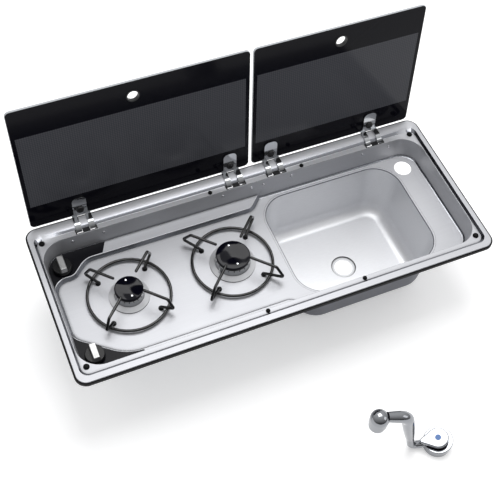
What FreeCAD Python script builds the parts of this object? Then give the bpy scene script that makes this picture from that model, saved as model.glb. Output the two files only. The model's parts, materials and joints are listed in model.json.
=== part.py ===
import FreeCAD, Part
import math
import os

V = FreeCAD.Vector
ALONG_X = V(1, 0, 0)
ALONG_Z = V(0, 0, 1)

# Rim and sheet. The worktop's face is z = 0 and the origin is the centre of the rim.
rim_length = 900.0
rim_width = 370.0
rim_corner = 24.0
rim_lip = 2.0
sheet = 1.0
gasket_height = 8.0
gasket_width = 9.6
gasket_inset = 0.2
gasket_border = 3.2

# Recess: how far each line of the pressing lies inside the line before it
rim_side, rim_front, rim_back = 13.0, 16.5, 20.5
slope_side, slope_front, slope_back = 4.0, 5.5, 9.5
ledge_side, ledge_front, ledge_back = 2.0, 10.0, 11.5
wall_side, wall_front, wall_back = 7.0, 6.0, 12.5
rim_inner_corner = 18.0
ledge_corner = 16.0
recess_corner = 48.0
deck_corner = 38.0
ledge_drop = 6.0
deck_depth = 50.0
base_radius = 6.0

# Sunken hob pan and the raised knob ledges around it
knob_ledge_height = 9.0
step_run = 4.5
step_radius = 2.0
pan_from_back = 29.5
pan_from_front = 21.0
pan_from_left = 3.0
pan_corner = 24.0
back_end_from_bowl, back_end_radius = 18.5, 32.0
front_end_from_bowl, front_end_run, front_end_radius = 30.0, 30.0, 22.0
front_corner_run, front_corner_rise, front_corner_radius = 86.0, 68.0, 90.0
left_corner_radius = 30.0
knob_bay_depth, knob_bay_length, knob_bay_slope, knob_bay_radius = 31.0, 43.0, 33.0, 34.0

# Sink bowl
bowl_width = 321.0
bowl_from_right = 61.0
bowl_from_front = 11.0
bowl_from_back = 11.0
bowl_corner = 60.0
bowl_depth = 136.0
bowl_taper = 10.0
bowl_bottom_radius = 30.0
bowl_mouth_radius = 2.0
bowl_flange = 5.0
drain_radius = 20.5
drain_seat_radius = 28.0
drain_seat_depth = 3.0
drain_forward = 15.0

# Tap hole
tap_hole_radius = 19.5
tap_hole_from_right = 37.0
tap_hole_from_back = 36.0

# Glass lids, open at rest and leaning back
glass = 5.0
lid_side_gap = 18.0
lid_gap = 7.0
lid_corner = 10.0
lid_lean = 6.8
lid_open_back = 1.0
lid_open_lift = 1.6
lid_closed_from_back = 36.0
lid_closed_from_front = 27.0
lid_closed_drop = 1.0
split_from_bowl = 7.0
finger_hole_radius = 12.3
finger_hole_from_top = 35.0
grommet_wall = 1.3
grommet_flange = 1.4
grommet_lip = 1.2

# Hinges
hinge_from_left_end = 104.0
hinge_from_split_left = 44.0
hinge_from_split_right = 43.5
hinge_from_right_end = 97.0
arm_width = 11.5
arm_spacing = 28.0
arm_thick = 3.0
arm_lift = 1.1
arm_tail_angle = 158.0
hub_radius = 4.2
pin_radius = 2.5
pin_clearance = 0.05
arm_side_gap = 0.5
cheek_thick = 2.5
bezel_thick = 1.5
bezel_setback = 1.5
leaf_width = 29.5
leaf_height = 51.0
leaf_foot_height = 6.0
leaf_corner = 11.0
leaf_thick = 3.0
screw_height = 17.0
screw_head_radius = 8.5
screw_head_height = 3.5
screw_radius = 3.5
screw_clearance = 0.3
pad_thick = 3.0
ear_length = 13.75
ear_thick = 1.5
seat_gap = 0.05
rivet_offset = 33.0
rivet_drop = 18.0
rivet_radius = 1.5
rivet_head_radius = 3.0

# Bumpers on the ledge
bumper_radius = 4.5
corner_bumper_radius = 6.2
bumper_gap = 0.3
bumper_from_end = 28.0
bumper_from_side = 38.0
bumper_from_split = 106.5

# Burners, measured up from the deck
burner_left_from_end = 159.0
burner_spacing = 223.5
burner_back = 3.5
left_cap_radius = 29.0
right_cap_radius = 35.5
cap_top = 31.0
cap_height = 6.5
cap_skirt = 0.5
cap_edge = 2.5
head_margin = 1.0
head_wall = 5.0
burner_hole_gap = 0.3
port_count = 20
port_width = 1.6
port_depth = 4.0
ring_reach = 12.0
ring_gap = 0.5
ring_rise = 2.2
ring_collar = 8.0
ring_sheet = 1.0
cup_wall = 1.5
cup_depth = 26.0
cup_flange = 4.0
injector_radius = 6.0
injector_length = 14.0
cap_rivet_radius = 2.6
cap_rivet_share = 0.67
probe_radius = 1.5
probe_gap = 3.0
probe_top = 20.0

# Pan supports
support_ring_radius = 83.5
support_ring_wire = 3.0
support_ring_height = 7.0
finger_wire = 3.0
finger_top = 44.5
finger_bend = 4.5
finger_pin_height = 5.6
finger_knee_height = 19.0
foot_radius = 70.0
foot_gap = 0.3
left_finger_tip, left_finger_knee, left_finger_elbow = 34.0, 98.0, 84.5
right_finger_tip, right_finger_knee, right_finger_elbow = 39.5, 112.5, 94.5
bush_radius = 5.5
bush_height = 3.2
bush_clearance = 0.5

# Knobs and gas valves
knob_from_left = 27.0
rear_knob_from_back = 33.0
front_knob_from_front = 33.0
knob_push = 3.0
dial_radius = 20.0
dial_height = 8.0
dial_gap = 4.5
bar_length = 36.0
bar_width = 15.0
bar_height = 12.0
spindle_radius = 3.5
spindle_hole_radius = 8.0
sleeve_wall = 1.5
running_clearance = 0.05
valve_radius = 13.0
valve_neck_radius = 9.0
valve_neck_length = 12.0
valve_length = 26.0
panel_film = 0.4
panel_margin = 0.6
panel_length = 99.0
panel_slant = 0.5
panel_tip = 56.0

# Gas pipes and the tray under the hob
manifold_radius = 4.0
manifold_offset = 24.0
inlet_length = 26.0
inlet_nut_radius = 7.0
inlet_nut_length = 4.0
feed_radius = 3.0
pipe_bend = 14.0
tray_depth = 58.0
tray_sheet = 0.8
tray_corner = 20.0
tray_gap = 0.2
tray_inset = 9.0
tray_end = 28.0

# Loose tap, standing on the level of the bowl's underside
tap_x, tap_y = 193.0, -471.0
tap_turn = 165.0
tap_base_radius = 29.0
tap_base_low = 15.0
tap_base_high = 27.0
tap_stub_height = 9.0
tap_stub_radius = 6.0
tap_stub_length = 14.0
tap_collar_radius = 7.5
tap_collar_length = 4.0
tap_fitting_radius = 8.0
tap_fitting_length = 42.0
tap_fitting_bend = 14.0
tap_elbow_reach = 12.0
tap_tube_radius = 12.5
tap_tube_lean = 14.0
tap_tube_length = 152.0
tap_arm_length = 40.0
tap_arm_rise = 8.0
tap_arm_radius = 10.0
tap_bend = 26.0
tap_wall = 2.0
nozzle_radius = 18.5
nozzle_drop = 20.0
nozzle_collar_radius = 16.5
nozzle_collar_height = 14.0
aerator_radius = 12.5
aerator_height = 3.0
lever_length = 58.0
lever_width = 42.0
lever_nose_radius = 5.0
lever_thick = 8.0
lever_tilt = 14.0
lever_rise = 8.0
lever_mark_radius = 6.0
lever_mark_height = 0.4
lever_pivot_height = 19.0
lever_lug_radius = 5.0
lever_lug_width = 12.0
lever_pin_radius = 2.5
lever_side_gap = 0.5

# Levels and lines that follow from the sizes above
rim_top = gasket_height + sheet
ledge_z = rim_top - ledge_drop
deck_z = rim_top - deck_depth
knob_z = deck_z + knob_ledge_height
bowl_z = deck_z - bowl_depth
ground_z = bowl_z - drain_seat_depth - sheet
half_length = rim_length / 2
half_width = rim_width / 2


def inner_frame(side, front, back, corner):
    """Corners of a rounded rectangle that lies inside the rim's edge by the given margins."""
    x = half_length - side
    y0 = front - half_width
    y1 = half_width - back
    return [(x, y0, corner), (x, y1, corner), (-x, y1, corner), (-x, y0, corner)]


rim_edge = inner_frame(0, 0, 0, rim_corner)
steel_edge = inner_frame(gasket_border, gasket_border, gasket_border, rim_corner - gasket_border)
rim_inner = inner_frame(rim_side, rim_front, rim_back, rim_inner_corner)
ledge_outer_margins = (rim_side + slope_side, rim_front + slope_front, rim_back + slope_back)
ledge_outer = inner_frame(*ledge_outer_margins, ledge_corner)
ledge_inner_margins = (ledge_outer_margins[0] + ledge_side, ledge_outer_margins[1] + ledge_front,
                       ledge_outer_margins[2] + ledge_back)
ledge_inner = inner_frame(*ledge_inner_margins, recess_corner)
deck_margins = (ledge_inner_margins[0] + wall_side, ledge_inner_margins[1] + wall_front,
                ledge_inner_margins[2] + wall_back)
deck = inner_frame(*deck_margins, deck_corner)
deck_left = -half_length + deck_margins[0]
deck_right = half_length - deck_margins[0]
deck_front = -half_width + deck_margins[1]
deck_back = half_width - deck_margins[2]
ledge_back_outer = half_width - ledge_outer_margins[2]
ledge_back_inner = half_width - ledge_inner_margins[2]
ledge_front_middle = -half_width + (ledge_outer_margins[1] + ledge_inner_margins[1]) / 2
ledge_back_middle = (ledge_back_outer + ledge_back_inner) / 2

bowl_right = deck_right - bowl_from_right
bowl_left = bowl_right - bowl_width
bowl_front = deck_front + bowl_from_front
bowl_back = deck_back - bowl_from_back
bowl_mouth = [(bowl_right, bowl_front, bowl_corner), (bowl_right, bowl_back, bowl_corner),
              (bowl_left, bowl_back, bowl_corner), (bowl_left, bowl_front, bowl_corner)]
drain_x = (bowl_left + bowl_right) / 2
drain_y = (bowl_front + bowl_back) / 2 - drain_forward
tap_hole_x = deck_right - tap_hole_from_right
tap_hole_y = deck_back - tap_hole_from_back

knob_x = deck_left + knob_from_left
rear_knob_y = deck_back - rear_knob_from_back
front_knob_y = deck_front + front_knob_from_front
pan_back = deck_back - pan_from_back
pan_front = deck_front + pan_from_front
pan_left = deck_left + pan_from_left
burner_y = (deck_front + deck_back) / 2 + burner_back
left_burner_x = -half_length + burner_left_from_end
right_burner_x = left_burner_x + burner_spacing

lid_split = bowl_left + split_from_bowl
left_lid_span = (-half_length + lid_side_gap, lid_split - lid_gap / 2)
right_lid_span = (lid_split + lid_gap / 2, half_length - lid_side_gap)
lid_open_y = half_width + lid_open_back
lid_open_z = rim_top + lid_open_lift
lid_closed_y = half_width - lid_closed_from_back
lid_closed_z = rim_top - lid_closed_drop
lid_length = lid_closed_y + half_width - lid_closed_from_front
lid_swing = 90.0 + lid_lean
half_turn = 2 * math.tan(math.radians(lid_swing / 2))
pivot_y = (lid_open_y + lid_closed_y) / 2 + (lid_open_z - lid_closed_z) / half_turn
pivot_z = (lid_open_z + lid_closed_z) / 2 - (lid_open_y - lid_closed_y) / half_turn
arm_radius = rim_top + arm_lift + arm_thick / 2 - pivot_z
hinge_xs = (left_lid_span[0] + hinge_from_left_end, left_lid_span[1] - hinge_from_split_left,
            right_lid_span[0] + hinge_from_split_right, right_lid_span[1] - hinge_from_right_end)
arm_reach = (arm_spacing + arm_width) / 2
cheek_inner = arm_reach + arm_side_gap
cheek_outer = cheek_inner + cheek_thick
slot_front = lid_closed_y - arm_thick
slot_back = ledge_back_outer + 2 * arm_side_gap
wall_slope = wall_back / (deck_depth - ledge_drop)


def rounded_wire(corners, grow=0.0):
    """Counter-clockwise outline through (x, y, radius) corners, all edges moved outwards by grow."""
    count = len(corners)
    points = [V(c[0], c[1], 0) for c in corners]
    ways = [(points[(i + 1) % count] - points[i]).normalize() for i in range(count)]
    edges = []
    tangents = []
    for i in range(count):
        before = ways[i - 1]
        after = ways[i]
        turn = math.atan2(before.x * after.y - before.y * after.x, before.dot(after))
        inward = after - before
        inward.normalize()
        sign = 1 if turn > 0 else -1
        vertex = points[i] - inward * (sign * grow / math.cos(turn / 2))
        radius = corners[i][2] + sign * grow if corners[i][2] else 0
        reach = radius * math.tan(abs(turn) / 2)
        middle = vertex + inward * (radius / math.cos(turn / 2) - radius)
        tangents.append((vertex - before * reach, middle, vertex + after * reach, radius))
    for i in range(count):
        start, middle, end, radius = tangents[i]
        if radius:
            edges.append(Part.Arc(start, middle, end).toShape())
        edges.append(Part.LineSegment(end, tangents[(i + 1) % count][0]).toShape())
    return Part.Wire(edges)


def outline(corners, z, grow=0.0):
    """The same outline at height z."""
    wire = rounded_wire(corners, grow)
    wire.translate(V(0, 0, z))
    return wire


def prism(corners, z0, z1, grow=0.0):
    """Upright block on a rounded outline."""
    return Part.Face(outline(corners, z0, grow)).extrude(V(0, 0, z1 - z0))


def loft(lower, upper):
    """Block with straight walls between two outlines that have the same edges."""
    return Part.makeLoft([lower, upper], True, True)


def turned(profile, x=0.0, y=0.0, z=0.0):
    """Solid of revolution about a vertical axis from (radius, height, rounding) corners."""
    wire = rounded_wire(profile)
    wire.rotate(V(0, 0, 0), ALONG_X, 90)
    solid = Part.Face(wire).revolve(V(0, 0, 0), ALONG_Z, 360)
    solid.translate(V(x, y, z))
    return solid


def cylinder(radius, height, x=0.0, y=0.0, z=0.0, way=ALONG_Z):
    """Plain cylinder from a point along a direction."""
    return Part.makeCylinder(radius, height, V(x, y, z), way)


def block(x0, x1, y0, y1, z0, z1):
    """Box between two corners."""
    return Part.makeBox(x1 - x0, y1 - y0, z1 - z0, V(x0, y0, z0))


def fused(shapes):
    """One solid from touching pieces, without the seams between them."""
    return shapes[0].multiFuse(shapes[1:]).removeSplitter()


def bent_path(points, bend):
    """Straight runs joined by tangent arcs of one bend radius."""
    ways = [(points[i + 1] - points[i]).normalize() for i in range(len(points) - 1)]
    edges = []
    start = points[0]
    for i in range(1, len(points) - 1):
        turn = ways[i - 1].getAngle(ways[i])
        reach = bend * math.tan(turn / 2)
        inward = (ways[i] - ways[i - 1]).normalize()
        arc_start = points[i] - ways[i - 1] * reach
        arc_end = points[i] + ways[i] * reach
        middle = points[i] + inward * (bend / math.cos(turn / 2) - bend)
        edges.append(Part.LineSegment(start, arc_start).toShape())
        edges.append(Part.Arc(arc_start, middle, arc_end).toShape())
        start = arc_end
    edges.append(Part.LineSegment(start, points[-1]).toShape())
    return Part.Wire(edges)


def tube(points, radius, bend):
    """Round bar along a bent path."""
    path = bent_path(points, bend)
    way = points[1] - points[0]
    section = Part.Wire(Part.makeCircle(radius, points[0], way))
    return path.makePipeShell([section], True, False)


def edges_at(shape, z, spread=0.01):
    """Edges of a shape that lie in one level."""
    return [e for e in shape.Edges if abs(e.BoundBox.ZMin - z) < spread and abs(e.BoundBox.ZMax - z) < spread]


# The island is the raised ledge on three sides of the hob pan. Its outer corners lie outside the recess.
back_end = bowl_left - back_end_from_bowl
front_end = bowl_left - front_end_from_bowl
bay_back = pan_back - knob_bay_depth
far = rim_length
island_corners = [
    (back_end + rim_width / 6, pan_back + rim_width / 6, 0), (back_end + rim_width / 6, far, 0), (-far, far, 0),
    (-far, -far, 0), (front_end + front_end_run, -far, 0),
    (front_end + front_end_run, pan_front - 1.3 * front_end_run, 0), (front_end, pan_front, front_end_radius),
    (pan_left + front_corner_run, pan_front, front_corner_radius),
    (pan_left, pan_front + front_corner_rise, left_corner_radius), (pan_left, bay_back, pan_corner),
    (pan_left + knob_bay_length, bay_back, pan_corner),
    (pan_left + knob_bay_length + knob_bay_slope, pan_back, knob_bay_radius), (back_end, pan_back, back_end_radius),
]


def island(grow):
    """Raised knob ledges as a block with sloped, rounded steps, drawn in by grow for the sheet's underside."""
    foot = outline(island_corners, deck_z - grow, -grow)
    head = outline(island_corners, knob_z - grow, -grow - step_run)
    solid = loft(foot, head)
    inside = [e for e in edges_at(solid, knob_z - grow) if e.BoundBox.XMin > -half_length
              and e.BoundBox.YMax < half_width and e.BoundBox.YMin > -half_width]
    return solid.makeFillet(step_radius, inside)


def recess(grow):
    """Volume inside the pressing: sloped step, ledge, drawn walls and flat deck."""
    step = loft(outline(ledge_outer, ledge_z - grow, grow), outline(rim_inner, rim_top - grow, grow))
    well = loft(outline(deck, deck_z - grow, grow), outline(ledge_inner, ledge_z - grow, grow))
    well = well.makeFillet(base_radius + grow, edges_at(well, deck_z - grow))
    return step.fuse(well).cut(island(grow))


under_recess = recess(sheet)


def wall_point(drop, outwards=0.0):
    """Point on the back wall's inner face at a depth below the rim, moved outwards along y."""
    return V(0, ledge_back_inner - (drop - ledge_drop) * wall_slope + outwards, rim_top - drop)


wall_normal = V(0, -1, wall_slope).normalize()


def rivet_places():
    """Two rivets beside each hinge on the back wall."""
    return [wall_point(rivet_drop) + V(x + side * rivet_offset, 0, 0) for x in hinge_xs for side in (-1, 1)]


def top_panel():
    """Pressed stainless top in one sheet with all its cut-outs."""
    plate = prism(steel_edge, rim_top - sheet, rim_top)
    lip = prism(steel_edge, rim_top - rim_lip, rim_top)
    lip = lip.cut(prism(steel_edge, rim_top - rim_lip, rim_top, -sheet))
    panel = fused([plate, lip, under_recess]).cut(recess(0))
    rim_edges = [e for e in edges_at(panel, rim_top) if e.BoundBox.XMax > half_length - rim_side / 2
                 or e.BoundBox.XMin < rim_side / 2 - half_length
                 or e.BoundBox.YMax > half_width - rim_front / 2
                 or e.BoundBox.YMin < rim_front / 2 - half_width]
    panel = panel.makeFillet(sheet * 0.8, rim_edges)
    cuts = [prism(bowl_mouth, deck_z - deck_depth, deck_z + sheet, bowl_flange)]
    cuts.append(cylinder(tap_hole_radius, deck_depth, tap_hole_x, tap_hole_y, deck_z - deck_depth / 2))
    for x, cap_radius in burners:
        hole_radius = cap_radius + head_margin + burner_hole_gap
        cuts.append(cylinder(hole_radius, deck_depth, x, burner_y, deck_z - deck_depth / 2))
    for y in (rear_knob_y, front_knob_y):
        cuts.append(cylinder(spindle_hole_radius, deck_depth, knob_x, y, knob_z - deck_depth / 2))
    for x in hinge_xs:
        slot = (x - cheek_outer, x + cheek_outer, slot_front - cheek_thick / 4, slot_back)
        cuts.append(block(*slot, ledge_z - 2 * sheet, ledge_z + 2 * sheet))
    for place in rivet_places():
        cuts.append(cylinder(rivet_radius, 6 * sheet, *(place - wall_normal * 3 * sheet), wall_normal))
    for x, y, radius in bumper_places:
        cuts.append(cylinder(radius / 2, 4 * sheet, x, y, ledge_z - 2 * sheet))
    return panel.cut(Part.makeCompound(cuts))


def bowl_volume(grow):
    """Tapered bowl with rounded bottom, drain seat and a rounded mouth that opens onto the deck."""
    floor = bowl_z - grow
    body = loft(outline(bowl_mouth, floor, grow - bowl_taper), outline(bowl_mouth, deck_z - grow, grow))
    body = body.makeFillet(bowl_bottom_radius + grow, edges_at(body, floor))
    top = prism(bowl_mouth, deck_z - grow, deck_z + sheet, bowl_flange)
    seat = cylinder(drain_seat_radius + grow, drain_seat_depth, drain_x, drain_y, floor - drain_seat_depth)
    solid = fused([body, top, seat])
    limit = grow + bowl_flange / 4
    mouth = [e for e in edges_at(solid, deck_z - grow)
             if e.BoundBox.XMax < bowl_right + limit and e.BoundBox.XMin > bowl_left - limit
             and e.BoundBox.YMax < bowl_back + limit and e.BoundBox.YMin > bowl_front - limit]
    return solid.makeFillet(bowl_mouth_radius - grow, mouth)


def sink_bowl():
    """Drawn bowl with the flange that is welded into the deck's opening."""
    shell = bowl_volume(sheet).cut(bowl_volume(0))
    above = prism(bowl_mouth, deck_z, deck_z + 2 * sheet, bowl_flange + sheet)
    drain = cylinder(drain_radius, 4 * drain_seat_depth, drain_x, drain_y, ground_z - drain_seat_depth)
    return shell.cut(above).cut(drain)


def rim_gasket():
    """Rubber seal between the rim and the worktop: a band that borders the rim and a core inside the rim's lip."""
    band = prism(rim_edge, 0, rim_top - rim_lip - gasket_inset)
    core = prism(steel_edge, 0, gasket_height, -gasket_inset - sheet)
    return fused([band, core]).cut(prism(rim_edge, 0, gasket_height, -gasket_inset - gasket_width))


bumper_places = [(sx * (half_length - bumper_from_end), sy * (half_width - bumper_from_side), corner_bumper_radius)
                 for sx in (-1, 1) for sy in (-1, 1)]
bumper_places += [(lid_split + side * bumper_from_split, y, bumper_radius) for side in (-1, 1)
                  for y in (ledge_front_middle, ledge_back_middle)]


def lid_bumper(x, y, radius):
    """Rubber dome that a closed lid lies on, with a stem through the ledge."""
    top = ledge_drop - lid_closed_drop - bumper_gap
    stem = radius / 2
    profile = [(0, -2 * sheet, 0), (stem, -2 * sheet, 0), (stem, 0, 0), (radius, 0, 0),
               (radius, top, radius * 0.7), (0, top, 0)]
    return turned(profile, x, y, ledge_z)


def on_lid(shape, x):
    """Moves a piece drawn on an upright lid's front face to the open, leaning lid."""
    shape.rotate(V(0, 0, 0), ALONG_X, -lid_lean)
    shape.translate(V(x, lid_open_y, lid_open_z))
    return shape


def upright(corners, y0, y1):
    """Plate on an outline of (x, height, radius) corners, standing between two depths."""
    plate = Part.Face(rounded_wire(corners)).extrude(V(0, 0, y1 - y0))
    plate.rotate(V(0, 0, 0), ALONG_X, 90)
    plate.translate(V(0, y1, 0))
    return plate


def lid_glass(span, hinges):
    """Tempered pane with round corners, a finger hole and two screw holes, edges ground round."""
    middle = (span[0] + span[1]) / 2
    half = (span[1] - span[0]) / 2
    pane = upright([(-half, 0, lid_corner), (half, 0, lid_corner), (half, lid_length, lid_corner),
                    (-half, lid_length, lid_corner)], 0, glass)
    pane = pane.makeChamfer(glass / 8, [e for e in pane.Edges if abs(e.BoundBox.YMax - e.BoundBox.YMin) < glass / 2])
    hole = cylinder(finger_hole_radius, glass, 0, 0, lid_length - finger_hole_from_top, V(0, 1, 0))
    pane = pane.cut(hole)
    for x in hinges:
        pane = pane.cut(cylinder(screw_radius + screw_clearance, glass, x - middle, 0, screw_height, V(0, 1, 0)))
    return on_lid(pane, middle)


def finger_grommet(span):
    """Black sleeve with a flange on both faces of the pane."""
    bore = finger_hole_radius - grommet_wall
    flange = finger_hole_radius + grommet_flange
    profile = [(bore, -grommet_lip, 0.5), (flange, -grommet_lip, 0.5), (flange, 0, 0), (finger_hole_radius, 0, 0),
               (finger_hole_radius, glass, 0), (flange, glass, 0), (flange, glass + grommet_lip, 0.5),
               (bore, glass + grommet_lip, 0.5)]
    ring = turned(profile)
    ring.rotate(V(0, 0, 0), ALONG_X, -90)
    ring.translate(V(0, 0, lid_length - finger_hole_from_top))
    return on_lid(ring, (span[0] + span[1]) / 2)


def side_plate(points, x0, x1):
    """Plate drawn as (y, z) points and extruded along x."""
    wire = Part.makePolygon([V(x0, y, z) for y, z in points + points[:1]])
    return Part.Face(wire).extrude(V(x1 - x0, 0, 0))


def around_pivot(radius, angle, x):
    """Point at a radius and angle around the hinge pin."""
    turn = math.radians(angle)
    return V(x, pivot_y + radius * math.cos(turn), pivot_z + radius * math.sin(turn))


def hinge_arm(x):
    """Goose neck: a hub on the pin, a leg, an arc through the ledge and a straight run over the rim."""
    inner = arm_radius - arm_thick / 2
    outer = arm_radius + arm_thick / 2
    middle = (90 + arm_tail_angle) / 2
    back = lid_open_y - leaf_thick / 2
    start = V(x, back, pivot_z + outer)
    end = V(x, back, pivot_z + inner)
    edges = [
        Part.LineSegment(start, around_pivot(outer, 90, x)).toShape(),
        Part.Arc(around_pivot(outer, 90, x), around_pivot(outer, middle, x),
                 around_pivot(outer, arm_tail_angle, x)).toShape(),
        Part.LineSegment(around_pivot(outer, arm_tail_angle, x), around_pivot(inner, arm_tail_angle, x)).toShape(),
        Part.Arc(around_pivot(inner, arm_tail_angle, x), around_pivot(inner, middle, x),
                 around_pivot(inner, 90, x)).toShape(),
        Part.LineSegment(around_pivot(inner, 90, x), end).toShape(),
        Part.LineSegment(end, start).toShape(),
    ]
    neck = Part.Face(Part.Wire(edges)).extrude(V(arm_width, 0, 0))
    leg = block(x, x + arm_width, 0, arm_radius, -arm_thick, 0)
    leg.rotate(V(x, 0, 0), ALONG_X, arm_tail_angle)
    leg.translate(V(0, pivot_y, pivot_z))
    hub = cylinder(hub_radius, arm_width, x, pivot_y, pivot_z, ALONG_X)
    return [neck, leg, hub]


def hinge_leaf(x):
    """Chrome leaf on the lid's front face with its two goose-neck arms, one casting."""
    half = leaf_width / 2
    corners = [(-arm_reach, 0, 1.5), (arm_reach, 0, 1.5), (arm_reach, leaf_foot_height, 1.5),
               (half, leaf_foot_height, 1.5), (half, leaf_height, leaf_corner),
               (-half, leaf_height, leaf_corner), (-half, leaf_foot_height, 1.5),
               (-arm_reach, leaf_foot_height, 1.5)]
    plate = upright(corners, -leaf_thick, 0)
    plate = plate.cut(cylinder(screw_radius + screw_clearance, leaf_thick, 0, -leaf_thick, screw_height, V(0, 1, 0)))
    pieces = [on_lid(plate, x)]
    for side in (-1, 1):
        pieces += hinge_arm(x + side * arm_spacing / 2 - arm_width / 2)
    leaf = fused(pieces)
    bore = cylinder(pin_radius + pin_clearance, 2 * cheek_outer, x - cheek_outer, pivot_y, pivot_z, ALONG_X)
    return leaf.cut(bore)


def hinge_housing(x):
    """Black bezel on the ledge with two cheeks under it that carry the pin, and two riveted ears."""
    front = ledge_back_inner + bezel_setback
    bezel_corners = [(x - cheek_outer, front, 2), (x + cheek_outer, front, 2),
                     (x + cheek_outer, ledge_back_outer, 0.5), (x - cheek_outer, ledge_back_outer, 0.5)]
    pieces = [prism(bezel_corners, ledge_z, ledge_z + bezel_thick)]
    below = ledge_z - 2 * sheet
    behind = sheet * (1 + wall_slope) + seat_gap
    upper = wall_point(ledge_drop + 3 * sheet, behind)
    lower = wall_point(ledge_drop + 20 * sheet, behind)
    back = half_width - gasket_inset - gasket_width - arm_side_gap
    under_rim = rim_top - 2 * sheet
    cheek = [(slot_front, ledge_z), (ledge_back_outer, ledge_z), (ledge_back_outer, below),
             (ledge_back_outer + slope_back + sheet, under_rim), (back, under_rim),
             (back, pivot_z - hub_radius), (pivot_y - 2 * hub_radius, pivot_z - 2 * hub_radius),
             (lower.y, lower.z), (upper.y, upper.z), (slot_front, below)]
    for side in (-1, 1):
        pieces.append(side_plate(cheek, x + side * cheek_inner, x + side * cheek_outer))
        ear = [(upper.y, upper.z), (lower.y, lower.z), (lower.y + ear_thick, lower.z),
               (upper.y + ear_thick, upper.z)]
        pieces.append(side_plate(ear, x + side * cheek_inner, x + side * (cheek_outer + ear_length)))
    pieces.append(block(x - cheek_outer, x + cheek_outer, back - ear_thick, back, pivot_z - hub_radius, under_rim))
    housing = fused(pieces)
    for side in (-1, 1):
        middle = x + side * arm_spacing / 2
        reach = arm_width / 2 + arm_side_gap
        housing = housing.cut(block(middle - reach, middle + reach, slot_front - 0.5, half_width,
                                    ledge_z - sheet, ledge_z + 2 * bezel_thick))
    housing = housing.cut(cylinder(pin_radius, 2 * cheek_outer, x - cheek_outer, pivot_y, pivot_z, ALONG_X))
    for place in rivet_places():
        housing = housing.cut(cylinder(rivet_radius, 8 * sheet, *(place + wall_normal * sheet), -wall_normal))
    return housing


def hinge_pins():
    """Steel pins, held in the cheeks."""
    return Part.makeCompound([cylinder(pin_radius, 2 * cheek_outer, x - cheek_outer, pivot_y, pivot_z, ALONG_X)
                              for x in hinge_xs])


def hinge_rivets():
    """Dome rivets through the back wall and the housings' ears."""
    grip = 2.2 * sheet + ear_thick
    profile = [(0, -grip, 0), (rivet_radius, -grip, 0), (rivet_radius, 0, 0), (rivet_head_radius, 0, 0),
               (rivet_head_radius, rivet_radius, rivet_radius * 0.9), (0, rivet_radius, 0)]
    rivets = []
    for place in rivet_places():
        rivet = turned(profile)
        rivet.rotate(V(0, 0, 0), ALONG_X, math.degrees(math.atan2(1, wall_slope)))
        rivet.translate(place)
        rivets.append(rivet)
    return Part.makeCompound(rivets)


def lid_screws(hinges):
    """Black dome-headed screws through leaf and pane."""
    grip = leaf_thick + glass + pad_thick
    profile = [(0, -grip, 0), (screw_radius, -grip, 0), (screw_radius, 0, 0), (screw_head_radius, 0, 0),
               (screw_head_radius, screw_head_height, screw_head_height * 0.8), (0, screw_head_height, 0)]
    screws = []
    for x in hinges:
        screw = turned(profile)
        screw.rotate(V(0, 0, 0), ALONG_X, 90)
        screw.translate(V(0, -leaf_thick, screw_height))
        screws.append(on_lid(screw, x))
    return Part.makeCompound(screws)


def lid_pads(hinges):
    """Clamp pads on the back of the pane, which the screws thread into."""
    half = leaf_width / 2
    corners = [(-half, 1, 4), (half, 1, 4), (half, leaf_height * 0.7, leaf_corner),
               (-half, leaf_height * 0.7, leaf_corner)]
    pads = []
    for x in hinges:
        pad = upright(corners, glass, glass + pad_thick)
        pad = pad.cut(cylinder(screw_radius, glass + pad_thick, 0, 0, screw_height, V(0, 1, 0)))
        pads.append(on_lid(pad, x))
    return Part.makeCompound(pads)


burners = ((left_burner_x, left_cap_radius), (right_burner_x, right_cap_radius))


def burner_ring(x, cap_radius):
    """Pressed steel ring that slopes up from the deck to the burner head and trims its hole."""
    inner = cap_radius + head_margin + ring_gap
    outer = cap_radius + ring_reach
    under = outer - ring_sheet
    profile = [(under, 0, 0), (outer, 0, 0), (outer, ring_rise, 0.6), (inner, ring_collar, 0.3),
               (inner, ring_collar - ring_sheet, 0), (under, ring_rise - ring_sheet, 0)]
    return turned(profile, x, burner_y, deck_z)


head_top = cap_top - cap_height - cap_skirt


def burner_head(x, cap_radius):
    """Aluminium flame ring: a straight wall that stands on the cup through the deck, with slots around its top."""
    outer = cap_radius + head_margin
    inner = outer - head_wall
    profile = [(inner, -sheet, 0), (outer, -sheet, 0), (outer, head_top, 0.6), (inner, head_top, 0)]
    head = turned(profile, x, burner_y, deck_z)
    slot = block(0, outer, -port_width / 2, port_width / 2, head_top - port_depth, head_top)
    slots = []
    for i in range(port_count):
        cut = slot.copy()
        cut.rotate(V(0, 0, 0), ALONG_Z, 360.0 / port_count * i)
        cut.translate(V(x, burner_y, deck_z))
        slots.append(cut)
    return head.cut(Part.makeCompound(slots))


def burner_cap(x, cap_radius):
    """Flat enamelled steel cap with a rounded edge and a short skirt, lying on the head."""
    low = cap_top - cap_height
    profile = [(0, low, 0), (cap_radius - head_wall / 2, low, 0), (cap_radius - head_wall / 2, head_top, 0),
               (cap_radius, head_top, cap_skirt), (cap_radius, cap_top, cap_edge), (0, cap_top, 0)]
    return turned(profile, x, burner_y, deck_z)


def cap_rivets():
    """Two bright rivets on each cap."""
    radius = cap_rivet_radius
    profile = [(0, 0, 0), (radius, 0, 0), (radius, 1.6, 1.2), (0, 1.6, 0)]
    return Part.makeCompound([turned(profile, x, burner_y + side * cap_radius * cap_rivet_share, deck_z + cap_top)
                              for x, cap_radius in burners for side in (-1, 1)])


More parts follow.
